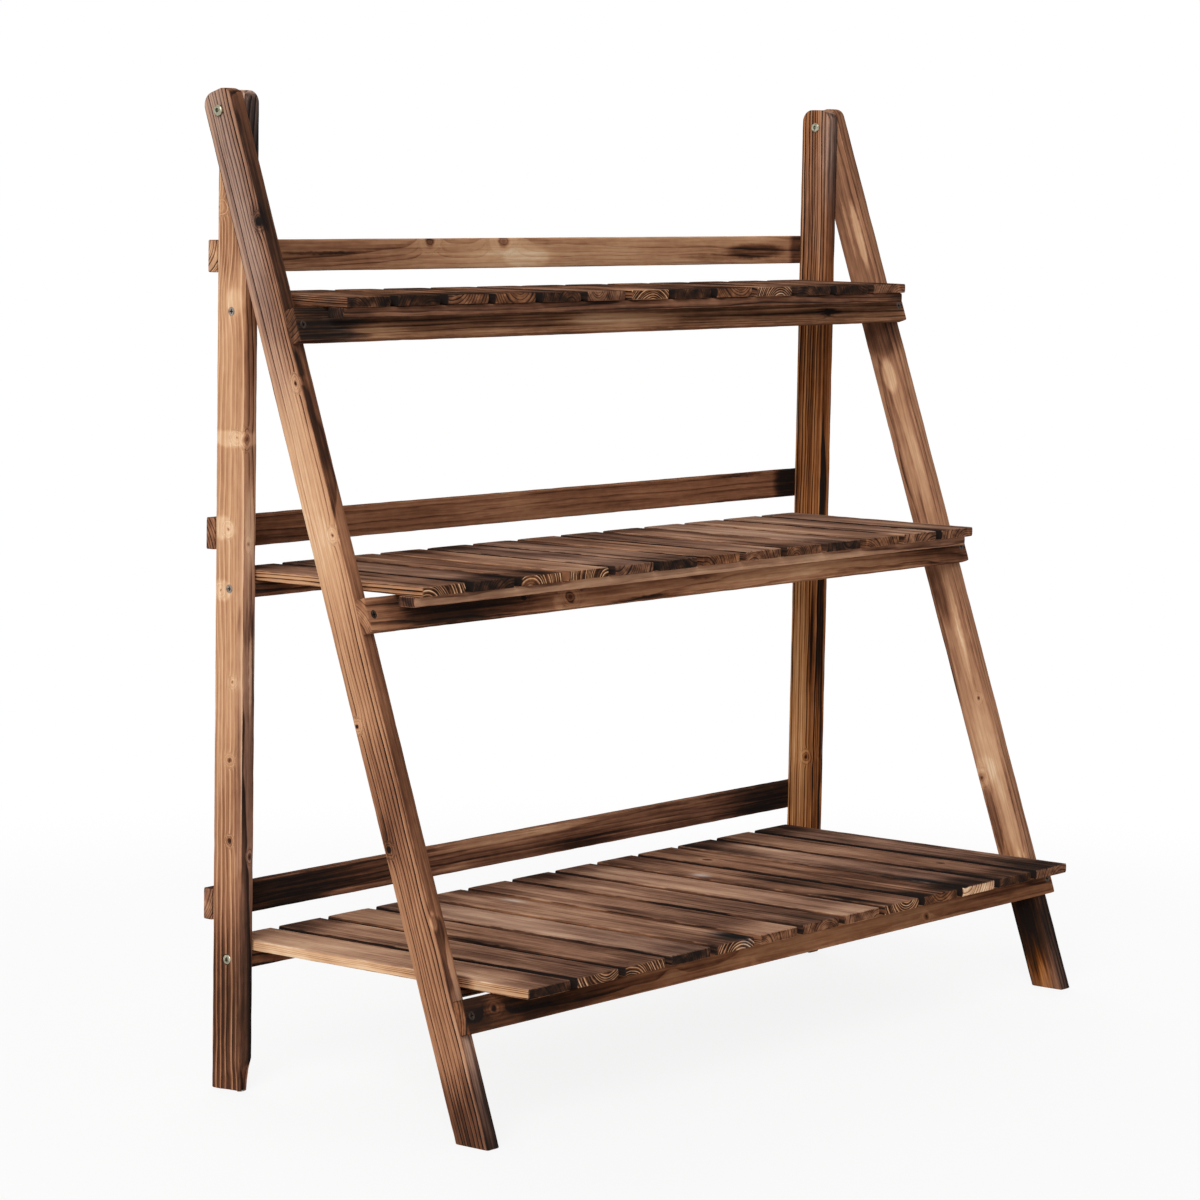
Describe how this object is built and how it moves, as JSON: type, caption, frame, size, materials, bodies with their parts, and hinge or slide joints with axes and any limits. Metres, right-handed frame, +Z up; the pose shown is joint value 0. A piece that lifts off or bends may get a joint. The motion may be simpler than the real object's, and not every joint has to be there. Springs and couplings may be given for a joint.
{
  "type": "tiered plant shelf",
  "caption": "Folding slatted plant stand in torched fir: an A-frame of upright and sloping legs carries stepped shelves that lift on rear pivots.",
  "frame": {"origin": "on the floor, at the middle of the stand's bounding box", "axes": "+X to the stand's right seen from the front, +Y to the back, +Z up"},
  "size_m": [0.9808, 0.378, 0.9321],
  "materials": {
    "leg_wood": "torched, brushed and left matt",
    "rail_wood": "torched, brushed and left matt",
    "shelf_wood": "torched, brushed and left matt",
    "screw_steel": "dull zinc",
    "zinc_steel": "bright yellowish zinc plate"
  },
  "bodies": {
    "rear_frame": {"back_rail_bottom": "rail_wood", "back_rail_middle": "rail_wood", "back_rail_top": "rail_wood", "fold_bolts": "zinc_steel", "fold_nuts": "zinc_steel", "rear_frame_screws": "screw_steel", "rear_leg_left": "leg_wood", "rear_leg_right": "leg_wood", "shelf_pivot_bolts": "zinc_steel"},
    "bottom_shelf": {"bottom_front_batten": "shelf_wood", "bottom_rear_batten": "shelf_wood", "bottom_slat_01": "shelf_wood", "bottom_slat_02": "shelf_wood", "bottom_slat_03": "shelf_wood", "bottom_slat_04": "shelf_wood", "bottom_slat_05": "shelf_wood", "bottom_slat_06": "shelf_wood", "bottom_slat_07": "shelf_wood", "bottom_slat_08": "shelf_wood", "bottom_slat_09": "shelf_wood", "bottom_slat_10": "shelf_wood", "bottom_slat_11": "shelf_wood", "bottom_slat_12": "shelf_wood", "bottom_slat_13": "shelf_wood"},
    "front_frame": {"front_leg_left": "leg_wood", "front_leg_right": "leg_wood", "front_rail_bottom": "rail_wood", "front_rail_middle": "rail_wood", "front_rail_screws": "screw_steel", "front_rail_top": "rail_wood"},
    "middle_shelf": {"middle_front_batten": "shelf_wood", "middle_rear_batten": "shelf_wood", "middle_slat_01": "shelf_wood", "middle_slat_02": "shelf_wood", "middle_slat_03": "shelf_wood", "middle_slat_04": "shelf_wood", "middle_slat_05": "shelf_wood", "middle_slat_06": "shelf_wood", "middle_slat_07": "shelf_wood", "middle_slat_08": "shelf_wood", "middle_slat_09": "shelf_wood", "middle_slat_10": "shelf_wood", "middle_slat_11": "shelf_wood", "middle_slat_12": "shelf_wood", "middle_slat_13": "shelf_wood"},
    "top_shelf": {"top_front_batten": "shelf_wood", "top_rear_batten": "shelf_wood", "top_slat_01": "shelf_wood", "top_slat_02": "shelf_wood", "top_slat_03": "shelf_wood", "top_slat_04": "shelf_wood", "top_slat_05": "shelf_wood", "top_slat_06": "shelf_wood", "top_slat_07": "shelf_wood", "top_slat_08": "shelf_wood", "top_slat_09": "shelf_wood", "top_slat_10": "shelf_wood", "top_slat_11": "shelf_wood", "top_slat_12": "shelf_wood", "top_slat_13": "shelf_wood"}
  },
  "joints": [
    {"name": "front_frame_fold", "type": "hinge", "parent": "rear_frame", "child": "front_frame", "pos_m": [0, 0.159, 0.911], "axis": [1, 0, 0], "range_deg": [0, 17.8]},
    {"name": "top_shelf_lift", "type": "hinge", "parent": "rear_frame", "child": "top_shelf", "pos_m": [0, 0.159, 0.728], "axis": [-1, 0, 0], "range_deg": [0, 89]},
    {"name": "middle_shelf_lift", "type": "hinge", "parent": "rear_frame", "child": "middle_shelf", "pos_m": [0, 0.159, 0.472], "axis": [-1, 0, 0], "range_deg": [0, 89]},
    {"name": "bottom_shelf_lift", "type": "hinge", "parent": "rear_frame", "child": "bottom_shelf", "pos_m": [0, 0.159, 0.124], "axis": [-1, 0, 0], "range_deg": [0, 84]}
  ]
}
